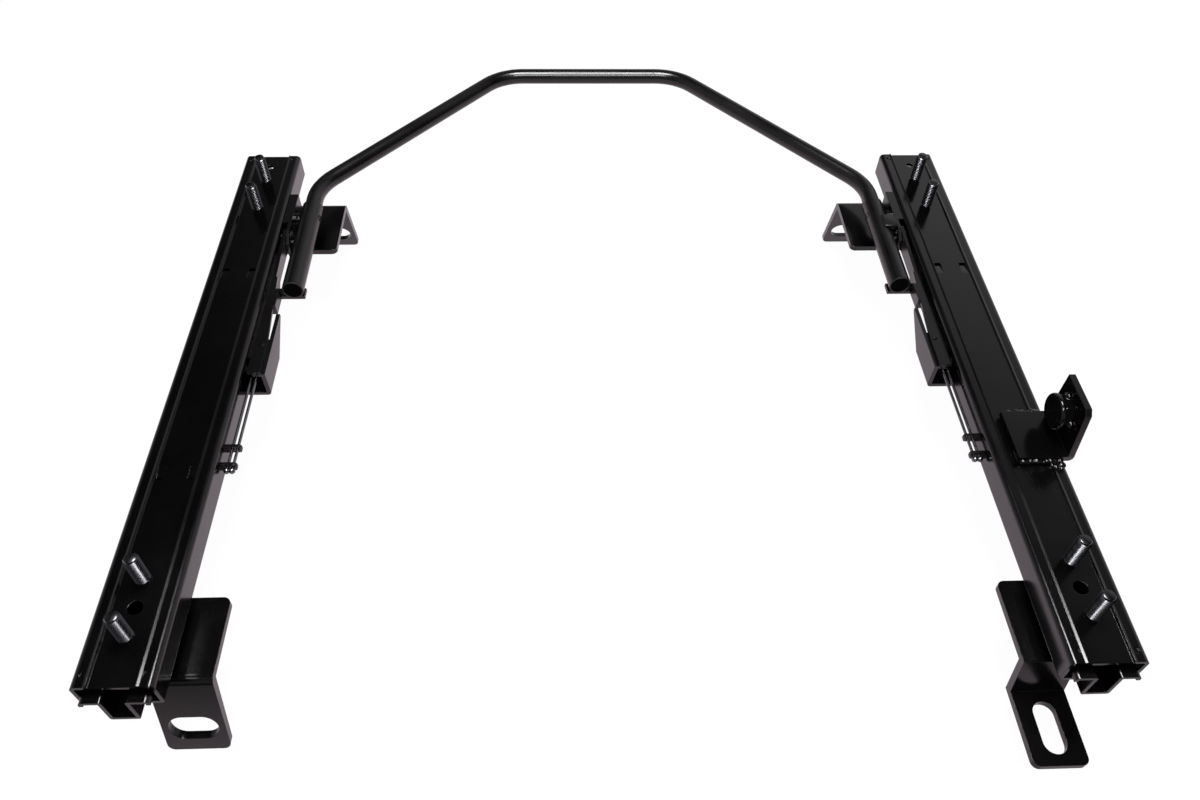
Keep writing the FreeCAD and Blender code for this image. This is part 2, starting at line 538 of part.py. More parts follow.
def make_lever_rivet():
    top, bottom = FOLD_TOP, "-1 * claw_top - claw_flange"
    rivet = turned([("0", f"{bottom} - rivet_head"), ("0.8 * rivet_radius", f"{bottom} - rivet_head"),
                    ("1.2 * rivet_radius", bottom), ("rivet_radius", bottom), ("rivet_radius", top),
                    ("1.2 * rivet_radius", top), ("0.7 * rivet_radius", f"{top} + rivet_head"),
                    ("0", f"{top} + rivet_head")])
    x = f"{WALL_X} - lever_gap - lever_sheet - flange_width / 2"
    return shaped("lever_rivet_right", rivet.translated(FreeCAD.Vector(value(x), value("lever_rivet_y"), 0)))


def make_spring_ears():
    """Two small ears on the wall that the lever spring's wires pass."""
    ears = []
    for y in ("ear_rear_y", "ear_front_y"):
        ear = Part.makeBox(value("ear_reach"), value("ear_sheet"), value("ear_bottom - ear_top"),
                           FreeCAD.Vector(value(f"{WALL_X} - ear_reach"), value(f"{y} - ear_sheet / 2"),
                                          value("-1 * ear_bottom")))
        upright = [edge for edge in ear.Edges if straight(edge, 1)
                   and abs(edge.CenterOfMass.x - value(f"{WALL_X} - ear_reach")) < 1e-3]
        ear = ear.makeFillet(value("ear_sheet"), upright)
        for side in (-1, 1):
            hole = Part.makeCylinder(value("wire_hole"), value("2 * ear_sheet"),
                                     FreeCAD.Vector(value(f"wire_x + {side} * wire_spread / 2"),
                                                    value(f"{y} - ear_sheet"), value("-1 * wire_drop")),
                                     FreeCAD.Vector(0, 1, 0))
            ear = ear.cut(hole)
        ears.append(ear)
    return shaped("spring_ears_right", Part.makeCompound(ears))


def make_lever_spring():
    """A hairpin of spring wire: two legs through the ears and a bight under the claw."""
    left, right = "wire_x - wire_spread / 2", "wire_x + wire_spread / 2"
    z = "-1 * wire_drop"
    low, high = [FreeCAD.Vector(value(x), value("wire_rear_y"), value(z)) for x in (left, right)]
    front = value("wire_front_y")
    turn = value("wire_spread") / 2
    a, b = FreeCAD.Vector(low.x, front, low.z), FreeCAD.Vector(high.x, front, high.z)
    crown = FreeCAD.Vector(value("wire_x"), front + turn, low.z)
    route = Part.Wire([Part.LineSegment(low, a).toShape(), Part.Arc(a, crown, b).toShape(),
                       Part.LineSegment(b, high).toShape()])
    section = Part.Wire(Part.makeCircle(value("wire_radius"), low, FreeCAD.Vector(0, 1, 0)))
    return shaped("lever_spring_right", route.makePipeShell([section], True, False))


def make_balls_and_cage(side, word):
    """A strip cage between the flange and the shoulder, with its row of balls."""
    middle = f"{RAIL_X} + {side} * race_half"
    height = f"({FLANGE_TOP} + ball_gap / 2)"
    cage = part_body(f"ball_cage_{word}_right")
    points = box_points(f"{middle} - cage_width / 2", f"{middle} + cage_width / 2",
                        "rail_mid - cage_length / 2", "rail_mid + cage_length / 2")
    add_prism(cage, "XY_Plane", points, f"{height} - cage_sheet / 2", f"{height} + cage_sheet / 2")
    count = int(value("ball_count"))
    places = [f"rail_mid + ({step} - (ball_count - 1) / 2) * ball_pitch" for step in range(count)]
    holes = [(middle, y, "ball_radius + ball_fit") for y in places]
    cut_prism(cage, "XY_Plane", [], f"{height} - cage_sheet", f"{height} + cage_sheet", holes)
    balls = [Part.makeSphere(value("ball_radius"), FreeCAD.Vector(value(middle), value(y), value(height)))
             for y in places]
    return cage, shaped(f"slide_balls_{word}_right", Part.makeCompound(balls))


def make_handle():
    z = PIVOT_Z
    start = "sleeve_low_y + rod_inset"
    route = [("-1 * sleeve_x", start, z), ("-1 * sleeve_x", "bend_y", z), ("-1 * bar_half", "bar_y", z),
             ("bar_half", "bar_y", z), ("sleeve_x", "bend_y", z), ("sleeve_x", start, z)]
    bar = swept(route, "rod_bend", "rod_radius")
    for side in (-1, 1):
        hole = Part.makeCylinder(value("handle_pin + pin_clear"), value("4 * rod_radius"),
                                 FreeCAD.Vector(value(f"{side} * sleeve_x - 2 * rod_radius"),
                                                value("handle_pivot_y"), value(z)), FreeCAD.Vector(1, 0, 0))
        bar = bar.cut(hole)
    return shaped("handle_bar", bar)


def make_sleeve():
    body = part_body("handle_sleeve_right")
    add_prism(body, "XZ_Plane", [], "sleeve_low_y", "sleeve_high_y", [("sleeve_x", PIVOT_Z, "sleeve_radius")])
    cut_prism(body, "XZ_Plane", [], "sleeve_low_y - 1", "sleeve_high_y + 1",
              [("sleeve_x", PIVOT_Z, "rod_radius + sleeve_fit")])
    cut_prism(body, "YZ_Plane", [], "sleeve_x - 2 * sleeve_radius", "sleeve_x + 2 * sleeve_radius",
              [("handle_pivot_y", PIVOT_Z, "handle_pin + pin_clear")])
    return body


def make_belt_anchor():
    """The bracket on the right slide for a belt buckle: a welded leaf and an upright with a nut."""
    body = part_body("belt_anchor_bracket")
    face = f"{RAIL_X} + up_half + anchor_gap"
    far = f"{face} + anchor_sheet"
    under, top = "ridge_rise + bead_rise", "ridge_rise + bead_rise + anchor_sheet"
    profile = [("anchor_inner_x", under), (far, under), (far, "anchor_top"), (face, "anchor_top"),
               (face, top), ("anchor_inner_x", top)]
    add_prism(body, "XZ_Plane", profile, "anchor_low_y", "anchor_high_y")
    round_edges(body, "anchor_bend", lambda edge: lies_at(edge, 1, (far, under)))
    lean_y = "anchor_low_y + anchor_lean"
    slant = [("anchor_low_y", top), (lean_y, "anchor_top - anchor_corner"),
             (f"{lean_y} + anchor_corner", "anchor_top"),
             (f"{lean_y} + anchor_corner", "anchor_top + anchor_sheet"),
             ("anchor_low_y - anchor_sheet", "anchor_top + anchor_sheet"),
             ("anchor_low_y - anchor_sheet", top)]
    cut_prism(body, "YZ_Plane", slant, f"{face} - anchor_sheet", f"{far} + anchor_sheet")
    cut_prism(body, "YZ_Plane", [], f"{face} - anchor_sheet", f"{far} + anchor_sheet",
              [("anchor_nut_y", "anchor_nut_z", "anchor_thread")])
    nut = part_body("belt_anchor_nut")
    start = f"{face} - nut_body"
    hexagon = [(f"anchor_nut_y + nut_corner * sin({angle})", f"anchor_nut_z + nut_corner * cos({angle})")
               for angle in range(0, 360, 60)]
    add_prism(nut, "YZ_Plane", hexagon, start, face)
    add_prism(nut, "YZ_Plane", [], f"{start} - nut_face", start,
              [("anchor_nut_y", "anchor_nut_z", "nut_face_radius")])
    cut_prism(nut, "YZ_Plane", [], f"{start} - 2 * nut_face", f"{face} + nut_face",
              [("anchor_nut_y", "anchor_nut_z", "anchor_thread")])
    return body


make_upper = make_upper_rail()
mirrored(make_upper, "upper_rail_left")
for maker, name in ((make_lower_rail, "lower_rail_left"), (make_studs, "seat_studs_left"),
                    (make_foot_rivets, "foot_rivets_left"), (make_latch_bracket, "latch_bracket_left"),
                    (make_lever_pivot, "lever_pivot_left"), (make_handle_pivot, "handle_pivot_left"),
                    (make_lever, "lock_lever_left"), (make_claw, "lock_claw_left"),
                    (make_lever_rivet, "lever_rivet_left"), (make_spring_ears, "spring_ears_left"),
                    (make_lever_spring, "lever_spring_left"), (make_sleeve, "handle_sleeve_left")):
    mirrored(maker(), name)
for side, word in ((-1, "inner"), (1, "outer")):
    cage, balls = make_balls_and_cage(side, word)
    mirrored(cage, f"ball_cage_{word}_left")
    mirrored(balls, f"slide_balls_{word}_left")
make_handle()
make_belt_anchor()
front = make_angle_foot("front_foot_right", "front_foot_x", "front_foot_low_y", "front_foot_high_y",
                        "front_foot_high_y", "front_lean", 1)
mirrored(front, "front_foot_left")
rear = make_angle_foot("rear_foot_pattern", "rear_foot_x", "rear_foot_low_y", "rear_foot_high_y",
                       "rear_foot_low_y", "rear_lean", -1)
NODES.remove(rear)
mirrored(rear, "rear_foot_left")
make_step_foot()

doc.recompute()
for item in doc.Objects:
    if "Invalid" in item.State or "Error" in item.State:
        raise RuntimeError(f"{item.Label}: {item.State}")
os.makedirs("parts", exist_ok=True)
for node in NODES:
    if node.Shape.isNull() or not node.Shape.isValid():
        raise RuntimeError(f"{node.Label}: bad shape")
    node.Shape.exportStep(f"parts/{node.Label}.step")
    print(node.Label, len(node.Shape.Solids), round(node.Shape.Volume, 1))
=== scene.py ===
import json
import math

import bpy
from bpy.props import FloatProperty, FloatVectorProperty, PointerProperty
from mathutils import Matrix, Vector


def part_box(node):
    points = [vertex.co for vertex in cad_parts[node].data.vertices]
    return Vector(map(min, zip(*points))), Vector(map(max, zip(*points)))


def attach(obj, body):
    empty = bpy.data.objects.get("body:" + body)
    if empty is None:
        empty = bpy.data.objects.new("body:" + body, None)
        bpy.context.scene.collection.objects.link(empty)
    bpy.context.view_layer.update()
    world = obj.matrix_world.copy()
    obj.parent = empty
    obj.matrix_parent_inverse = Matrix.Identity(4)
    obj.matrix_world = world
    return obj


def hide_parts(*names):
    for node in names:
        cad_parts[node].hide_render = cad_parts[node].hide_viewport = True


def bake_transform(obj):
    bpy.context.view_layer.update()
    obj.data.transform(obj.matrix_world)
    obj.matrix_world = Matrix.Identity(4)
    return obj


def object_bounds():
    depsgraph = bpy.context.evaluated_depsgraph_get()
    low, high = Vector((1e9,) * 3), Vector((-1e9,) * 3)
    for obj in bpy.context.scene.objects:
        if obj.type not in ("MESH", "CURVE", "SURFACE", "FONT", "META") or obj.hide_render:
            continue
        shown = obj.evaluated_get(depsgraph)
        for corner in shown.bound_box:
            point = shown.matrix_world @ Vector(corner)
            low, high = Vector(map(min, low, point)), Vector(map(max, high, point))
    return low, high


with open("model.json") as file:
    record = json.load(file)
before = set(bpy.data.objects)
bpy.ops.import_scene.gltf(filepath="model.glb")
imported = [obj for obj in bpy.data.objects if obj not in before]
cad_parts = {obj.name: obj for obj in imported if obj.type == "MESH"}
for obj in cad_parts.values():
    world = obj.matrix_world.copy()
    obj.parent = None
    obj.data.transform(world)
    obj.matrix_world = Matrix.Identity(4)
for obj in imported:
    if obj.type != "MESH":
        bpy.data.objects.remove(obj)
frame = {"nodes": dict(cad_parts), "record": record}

bl_info = {
    "name": "Seat slide rail",
    "version": (1, 0, 0),
    "blender": (4, 5, 0),
    "location": "View3D > Sidebar > Seat slide",
    "description": "Dresses a pair of seat slides with threads, springs, welds and black coats",
    "category": "Object",
}

# The frame's +Y is the seat's front, where the handle is, and the camera looks from the rear.
MM = 0.001
CAD_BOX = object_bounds()
FLOOR_Z = CAD_BOX[0][2]
# Each rail's name, and the side of the middle that it lies on.
RAILS = (("left", -1), ("right", 1))
RAIL_X = sum(corner[0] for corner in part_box("upper_rail_right")) / 2


def srgb(code):
    """A hex colour as the linear values that a socket takes."""
    parts = [int(code[i:i + 2], 16) / 255 for i in (1, 3, 5)]
    return tuple(c / 12.92 if c <= 0.04045 else ((c + 0.055) / 1.055) ** 2.4 for c in parts) + (1.0,)


def add_node(tree, kind, inputs=None, links=None, **settings):
    """One node with its settings, its input values and what is linked to its inputs."""
    node = tree.nodes.new(kind)
    for name, setting in settings.items():
        setattr(node, name, setting)
    for name, number in (inputs or {}).items():
        node.inputs[name].default_value = number
    for name, source in (links or {}).items():
        tree.links.new(source, node.inputs[name])
    return node


# Work on objects


def deselect():
    """Leaves edit mode and selects nothing."""
    if bpy.context.object and bpy.context.object.mode != "OBJECT":
        bpy.ops.object.mode_set(mode="OBJECT")
    bpy.ops.object.select_all(action="DESELECT")


def choose(*objects):
    """Selects these objects and no others, with the first one active."""
    deselect()
    for item in objects:
        item.select_set(True)
    bpy.context.view_layer.objects.active = objects[0]


def apply_modifiers(item):
    choose(item)
    for modifier in list(item.modifiers):
        bpy.ops.object.modifier_apply(modifier=modifier.name)


def settle(item, name):
    """The finished piece: its place goes into its mesh, and it gets its name."""
    choose(item)
    bpy.ops.object.transform_apply(location=True, rotation=True, scale=True)
    item.name = name
    item.data.name = name
    return item


def joined(pieces, name):
    """One finished piece made of several closed shells."""
    choose(*pieces)
    if len(pieces) > 1:
        bpy.ops.object.join()
    return settle(bpy.context.object, name)


def copy_of(item, shift):
    """A copy with its own mesh, moved by a shift."""
    twin = item.copy()
    twin.data = item.data.copy()
    twin.location = item.location + Vector(shift)
    bpy.context.collection.objects.link(twin)
    return twin


def smooth_below(degrees):
    """Smooth shading of the chosen piece, with edges that turn by more kept sharp."""
    bpy.ops.object.shade_smooth_by_angle(angle=math.radians(degrees))


def paint(item, material):
    item.data.materials.clear()
    item.data.materials.append(material)


# Forms that several pieces use


def add_cylinder(sides, radius, bottom, top):
    """A cylinder about Z between two heights."""
    bpy.ops.mesh.primitive_cylinder_add(vertices=sides, radius=radius, depth=top - bottom,
                                        location=(0, 0, (bottom + top) / 2))
    return bpy.context.object


def bevel_edges(item, width, segments):
    """Rounds or chamfers the sharp edges."""
    bevel = item.modifiers.new("edges", "BEVEL")
    bevel.width = width
    bevel.segments = segments
    bevel.limit_method = "ANGLE"
    apply_modifiers(item)


def lathe(profile, steps):
    """A closed ring turned about Z from a list of radius and height."""
    bpy.ops.mesh.primitive_circle_add(vertices=len(profile), radius=1.0)
    ring = bpy.context.object
    for vertex, (radius, height) in zip(ring.data.vertices, profile):
        vertex.co = (radius, 0, height)
    screw = ring.modifiers.new("turned", "SCREW")
    screw.axis = "Z"
    screw.steps = screw.render_steps = steps
    screw.use_merge_vertices = True
    screw.use_normal_calculate = True
    apply_modifiers(ring)
    return ring


# How much of the pitch each side of a thread's ridge takes up at its foot.
RIDGE_HALF = 0.46


def thread_ridge(crest, foot, pitch, turns, steps):
    """A helical ridge of triangular section about Z, closed at both ends."""
    bpy.ops.mesh.primitive_circle_add(vertices=3, radius=pitch / 2)
    ridge = bpy.context.object
    half = RIDGE_HALF * pitch
    for vertex, spot in zip(ridge.data.vertices, ((crest, 0, 0), (foot, 0, -half), (foot, 0, half))):
        vertex.co = spot
    screw = ridge.modifiers.new("helix", "SCREW")
    screw.axis = "Z"
    screw.screw_offset = pitch
    screw.iterations = turns
    screw.steps = screw.render_steps = steps
    apply_modifiers(ridge)
    bpy.ops.object.mode_set(mode="EDIT")
    bpy.ops.mesh.select_all(action="SELECT")
    bpy.ops.mesh.fill_holes(sides=3)
    bpy.ops.mesh.select_all(action="SELECT")
    bpy.ops.mesh.normals_make_consistent(inside=False)
    bpy.ops.object.mode_set(mode="OBJECT")
    return ridge


def weld_drops(spots):
    """Overlapping drops of weld metal, each at a place with its three radii."""
    drops = []
    for place, radii in spots:
        bpy.ops.mesh.primitive_uv_sphere_add(segments=16, ring_count=10, radius=1.0, location=place, scale=radii)
        drops.append(bpy.context.object)
    return drops


# Materials

# The radius that the paint gives to every edge.
EDGE_ROUND = 0.45 * MM
# The spacing of the coat's orange peel, and of the patches where it is glossier or duller.
PEEL_SPACING = 2.4 * MM
PATCH_SPACING = 45 * MM
DUST_COLOUR = "#121113"
# How fine the drawn streaks are along the steel, as a part of their fineness across it.
STREAK_STRETCH = 0.08
# The spacing of the rough scale bump on the painted shade inside the sleeves.
SCALE_SPACING = 0.8 * MM


def empty_material(name):
    """A material with no nodes but the place on the object that its patterns read."""
    material = bpy.data.materials.new(name)
    material.use_nodes = True
    material.node_tree.nodes.clear()
    place = add_node(material.node_tree, "ShaderNodeTexCoord").outputs["Object"]
    return material, material.node_tree, place


def coat_material(name, colour, roughness, peel, grit_mm):
    """A sprayed and baked coat on steel: dark, smooth, with a faint orange peel and fine dust."""
    material, tree, place = empty_material(name)
    waves = add_node(tree, "ShaderNodeTexNoise", {"Scale": 1 / PEEL_SPACING, "Detail": 2.0}, {"Vector": place})
    grit = add_node(tree, "ShaderNodeTexNoise",
                    {"Scale": 1 / (grit_mm * MM), "Detail": 3.0, "Roughness": 0.7}, {"Vector": place})
    patches = add_node(tree, "ShaderNodeTexNoise", {"Scale": 1 / PATCH_SPACING, "Detail": 4.0}, {"Vector": place})
    rounded = add_node(tree, "ShaderNodeBevel", {"Radius": EDGE_ROUND}, samples=4)
    peeled = add_node(tree, "ShaderNodeBump", {"Strength": peel, "Distance": 0.05 * MM},
                      {"Height": waves.outputs["Fac"], "Normal": rounded.outputs["Normal"]})
    gritty = add_node(tree, "ShaderNodeBump", {"Strength": 0.4 * peel, "Distance": 0.02 * MM},
                      {"Height": grit.outputs["Fac"], "Normal": peeled.outputs["Normal"]})
    gloss = add_node(tree, "ShaderNodeMapRange",
                     {"From Min": 0.3, "From Max": 0.7, "To Min": roughness * 0.8, "To Max": roughness * 1.35},
                     {"Value": patches.outputs["Fac"]})
    dust = add_node(tree, "ShaderNodeMapRange", {"From Min": 0.55, "From Max": 0.8, "To Min": 0.0, "To Max": 0.5},
                    {"Value": grit.outputs["Fac"]})
    shade = add_node(tree, "ShaderNodeMix", {"A": srgb(colour), "B": srgb(DUST_COLOUR)},
                     {"Factor": dust.outputs["Result"]}, data_type="RGBA")
    shader = add_node(tree, "ShaderNodeBsdfPrincipled", {"IOR": 1.48},
                      {"Base Color": shade.outputs["Result"], "Roughness": gloss.outputs["Result"],
                       "Normal": gritty.outputs["Normal"]})
    add_node(tree, "ShaderNodeOutputMaterial", None, {"Surface": shader.outputs["BSDF"]})
    return material


def steel_material(name, colour, roughness, streak_mm):
    """Bare or blackened steel: a metal whose gloss varies with fine drawn streaks."""
    material, tree, place = empty_material(name)
    stretch = add_node(tree, "ShaderNodeMapping", {"Scale": (1.0, STREAK_STRETCH, 1.0)}, {"Vector": place})
    streaks = add_node(tree, "ShaderNodeTexNoise", {"Scale": 1 / (streak_mm * MM), "Detail": 3.0},
                       {"Vector": stretch.outputs["Vector"]})
    gloss = add_node(tree, "ShaderNodeMapRange",
                     {"From Min": 0.3, "From Max": 0.7, "To Min": roughness * 0.7, "To Max": roughness * 1.4},
                     {"Value": streaks.outputs["Fac"]})
    bump = add_node(tree, "ShaderNodeBump", {"Strength": 0.2, "Distance": 0.03 * MM},
                    {"Height": streaks.outputs["Fac"]})
    shader = add_node(tree, "ShaderNodeBsdfPrincipled", {"Base Color": srgb(colour), "Metallic": 1.0},
                      {"Roughness": gloss.outputs["Result"], "Normal": bump.outputs["Normal"]})
    add_node(tree, "ShaderNodeOutputMaterial", None, {"Surface": shader.outputs["BSDF"]})
    return material


def painted_shade_material(name, colour):
    """Painted shade: a dark matte surface that mirrors nothing, for a place that no lamp reaches, such as the
    inside of a tube.
    """
    material, tree, place = empty_material(name)
    scale = add_node(tree, "ShaderNodeTexNoise", {"Scale": 1 / SCALE_SPACING, "Detail": 3.0}, {"Vector": place})
    bump = add_node(tree, "ShaderNodeBump", {"Strength": 0.4, "Distance": 0.05 * MM},
                    {"Height": scale.outputs["Fac"]})
    shader = add_node(tree, "ShaderNodeBsdfDiffuse", {"Color": srgb(colour), "Roughness": 0.8},
                      {"Normal": bump.outputs["Normal"]})
    add_node(tree, "ShaderNodeOutputMaterial", None, {"Surface": shader.outputs["BSDF"]})
    return material


MATERIALS = {}


def make_materials():
    """Each coat's colour, roughness, peel and grit in mm; each steel's colour, roughness and streak in mm."""
    MATERIALS.update({
        # Electro-coat on the folded rails: deep black, smooth enough to mirror the studio softly.
        "rail_coat": coat_material("black_e_coat", "#020202", 0.15, 0.16, 0.5),
        # Coat on small stampings: the same black, more uneven over the sheared edges.
        "latch_coat": coat_material("black_stamping_coat", "#030303", 0.20, 0.30, 0.4),
        # Satin paint on the bar: long soft highlights along the tube.
        "handle_coat": coat_material("black_satin_paint", "#030303", 0.24, 0.15, 0.6),
        # Blackened studs: a dark metal whose thread crests catch the light.
        "stud_black": steel_material("blackened_stud_steel", "#4a4a4d", 0.22, 0.4),
        # Coat on the weld nut and its welds: the glossiest black, with small sharp glints.
        "fastener_black": coat_material("black_fastener_coat", "#040404", 0.12, 0.20, 0.3),
        # Oiled spring wire: a mid grey metal with bright lines along it.
        "spring_wire": steel_material("oiled_spring_wire", "#77777a", 0.22, 0.3),
        # Strip steel of the ball cages: dulled by grease.
        "cage_strip": steel_material("greased_strip_steel", "#6f6c66", 0.35, 0.8),
        # Painted shade inside the sleeves: black without a highlight.
        "painted_tube_shade": painted_shade_material("painted_shade_in_tube", "#050505"),
        # Polished balls: the brightest metal of all.
        "ball_steel": steel_material("polished_ball_steel", "#c8c8ca", 0.08, 1.0),
    })


def dress_frame():
    """Each node of the frame takes the coat of its slot in the record."""
    slots = {row["node"]: row["material_slot"] for row in frame["record"]["subparts"]}
    for node, item in frame["nodes"].items():
        paint(item, MATERIALS[slots[node]])


# Seat studs

STUD_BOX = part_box("seat_studs_right")
STUD_COLLAR = 4.3 * MM
STUD_HEAD_RADIUS = 5.2 * MM
STUD_HEAD = 1.5 * MM
STUD_TIP = 0.8 * MM
# A thread's depth as a part of its pitch, and how far its ridge goes into the core.
THREAD_DEPTH = 0.61
THREAD_ROOT = 0.05 * MM
# Where a ridge starts above the foot, and the length that stays without one at foot and tip.
THREAD_START = 1.3 * MM
THREAD_PLAIN = 2.2 * MM
# Two vertices further apart than this belong to two studs.
STUD_GAP = 5 * MM


def stud_places():
    """The studs' Y places, read from the vertices of the frame's own studs at their tips."""
    node = frame["nodes"]["seat_studs_right"]
    top = STUD_BOX[1][2]
    spots = sorted(v.co.y for v in node.data.vertices if abs(v.co.z - top) < 0.01 * MM)
    groups = [[spots[0]]]
    for y in spots[1:]:
        if y - groups[-1][-1] > STUD_GAP:
            groups.append([])
        groups[-1].append(y)
    return [(group[0] + group[-1]) / 2 for group in groups]


class SLIDE_OT_studs(bpy.types.Operator):
    """Adds the threaded seat studs"""
    bl_idname = "slide.studs"
    bl_label = "Seat studs"

    def execute(self, context):
        sizes = context.scene.slide_sizes
        low, high = STUD_BOX[0][2], STUD_BOX[1][2]
        minor = sizes.stud_radius - THREAD_DEPTH * sizes.stud_pitch
        core = add_cylinder(32, minor, 0, high)
        bevel_edges(core, STUD_TIP, 2)
        turns = int((high - THREAD_PLAIN) / sizes.stud_pitch)
        ridge = thread_ridge(sizes.stud_radius, minor - THREAD_ROOT, sizes.stud_pitch, turns, 28)
        ridge.location.z = THREAD_START
        shank = add_cylinder(32, STUD_COLLAR, low + STUD_HEAD, 0)
        head = add_cylinder(40, STUD_HEAD_RADIUS, low, low + STUD_HEAD)
        stud = joined([core, ridge, shank, head], "stud")
        smooth_below(28)
        for side, sign in RAILS:
            row = [copy_of(stud, (sign * RAIL_X, y, 0)) for y in stud_places()]
            piece = joined(row, f"threaded_studs_{side}")
            paint(piece, MATERIALS["stud_black"])
            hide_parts(f"seat_studs_{side}")
            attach(piece, "seat_slides")
        bpy.data.objects.remove(stud)
        return {"FINISHED"}


# Belt anchor's nut and welds

NUT_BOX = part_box("belt_anchor_nut")
NUT_HOLE = 5.8 * MM
NUT_CHAMFER = 1.7 * MM
# How far the round cutter that chamfers the corners reaches past each face.
NUT_CHAMFER_SPARE = 0.3 * MM
NUT_DRILL = NUT_HOLE + 0.35 * MM
NUT_BORE = NUT_HOLE + 0.3 * MM
# The thread's ridge stands on the drilled wall.
NUT_CREST, NUT_FOOT = NUT_HOLE - 0.3 * MM, NUT_HOLE + 0.4 * MM
NUT_PITCH = 1.27 * MM
# The round collar on the hexagon: its radius as a part of the corner's, its length, fillet and cone,
# and how far it sinks in.
COLLAR_REACH = 1.07
COLLAR_LENGTH = 2.6 * MM
COLLAR_FILLET = 1.2 * MM
COLLAR_CONE = 0.6 * MM
COLLAR_SINK = 0.4 * MM
# The nut's welds: their directions in degrees, their distance as a part of the corner's, and radii.
NUT_WELD_ANGLES = (25, 145, 265)
NUT_WELD_REACH = 0.93
NUT_WELD_SIZE = (2.2 * MM, 2.6 * MM, 1.5 * MM)
NUT_WELD_RISE = 0.9 * MM


def make_nut_hexagon(corner, top):
    """The hexagon, with its corners chamfered and its hole drilled."""
    hexagon = add_cylinder(6, corner, 0, top)
    round_off = add_cylinder(48, corner, -NUT_CHAMFER_SPARE, top + NUT_CHAMFER_SPARE)
    bevel_edges(round_off, NUT_CHAMFER, 2)
    drill = add_cylinder(48, NUT_DRILL, -2 * top, 2 * top)
    for cutter, operation in ((round_off, "INTERSECT"), (drill, "DIFFERENCE")):
        cut = hexagon.modifiers.new("cut", "BOOLEAN")
        cut.operation = operation
        cut.object = cutter
    apply_modifiers(hexagon)
    for cutter in (round_off, drill):
        bpy.data.objects.remove(cutter)
    return hexagon


def make_nut_collar(rim, top, length):
    """The round collar at the nut's free end, rolled over at both edges."""
    quarter = [math.pi / 2 * k / 5 for k in range(6)]
    height = length - COLLAR_FILLET
    outer = [(rim - COLLAR_FILLET + COLLAR_FILLET * math.cos(a), height + COLLAR_FILLET * math.sin(a))
             for a in quarter]
    inner = [(NUT_BORE + COLLAR_FILLET - COLLAR_FILLET * math.cos(a), height + COLLAR_FILLET * math.sin(a))
             for a in reversed(quarter)]
    foot = [(NUT_BORE, top - COLLAR_SINK), (rim - COLLAR_CONE, top - COLLAR_SINK), (rim, top + COLLAR_SINK)]
    return lathe(foot + outer + inner, 48)


class SLIDE_OT_weld_nut(bpy.types.Operator):
    """Adds the belt anchor's weld nut"""
    bl_idname = "slide.weld_nut"
    bl_label = "Weld nut"

    def execute(self, context):
        low, high = NUT_BOX
        length = high[0] - low[0]
        corner = max(high[1] - low[1], high[2] - low[2]) / 2
        top = length - COLLAR_LENGTH
        hexagon = make_nut_hexagon(corner, top)
        collar = make_nut_collar(COLLAR_REACH * corner, top, length)
        thread = thread_ridge(NUT_CREST, NUT_FOOT, NUT_PITCH, int(length / NUT_PITCH) - 2, 36)
        thread.location.z = THREAD_START
        reach = NUT_WELD_REACH * corner
        drops = weld_drops([((reach * math.cos(a), reach * math.sin(a), NUT_WELD_RISE), NUT_WELD_SIZE)
                            for a in map(math.radians, NUT_WELD_ANGLES)])
        nut = joined([hexagon, collar, thread] + drops, "weld_nut")
        # The nut's axis turns from Z to the middle of the seat, with the weld drops at the bracket.
        nut.rotation_euler = (0, -math.pi / 2, 0)
        nut.location = (high[0], (low[1] + high[1]) / 2, (low[2] + high[2]) / 2)
        settle(nut, "weld_nut")
        smooth_below(32)
        paint(nut, MATERIALS["fastener_black"])
        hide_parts("belt_anchor_nut")
        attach(nut, "seat_slides")
        return {"FINISHED"}


ANCHOR_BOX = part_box("belt_anchor_bracket")
# The beads start and end this far inside the bracket, with one drop to each step.
BEAD_INSET = 3 * MM
BEAD_STEP = 1.5 * MM
# A hand-laid bead wanders and swells: its drop's mean radii, and how far they and its place vary.
BEAD_SIZE = (2.1, 2.0, 1.6)
BEAD_SWELL = (0.6, 0.6, 0.5)
BEAD_WANDER = (0.6 * MM, 0.4 * MM)
# Radians from one drop to the next in the two waves that it varies by, and from one bead to the other.
BEAD_WAVE, BEAD_DRIFT, BEAD_PHASE = 2.3, 5.1, 40
# Height of the rear bead and of the front one above the bracket's lowest edge.
BEAD_RISES = (0.4 * MM, 1.9 * MM)
# Spatter at the rear corner: place from the rail's edge and the bracket's, and radius, in mm.
SPATTER = ((-6.0, -3.4, 2.0), (-3.4, -4.6, 1.7), (-2.2, -2.2, 2.3), (-8.2, -2.6, 1.5))
SPATTER_HEIGHT = 1.4 * MM
SPATTER_DROP = 0.8 * MM


def bead_spots(first, last, edge, z):
    """The drops of one bead along X, at one edge of the bracket."""
    count = int((last - first) / BEAD_STEP)
    spots = []
    for k in range(count + 1):
        wave, drift = math.sin(BEAD_WAVE * k + BEAD_PHASE * edge), math.sin(BEAD_DRIFT * k + 1.0)
        place = (first + (last - first) * k / count + BEAD_WANDER[0] * drift, edge + BEAD_WANDER[1] * wave, z)
        sways = (drift, wave, wave * drift)
        spots.append((place, tuple((size + swell * sway) * MM
                                   for size, swell, sway in zip(BEAD_SIZE, BEAD_SWELL, sways))))
    return spots


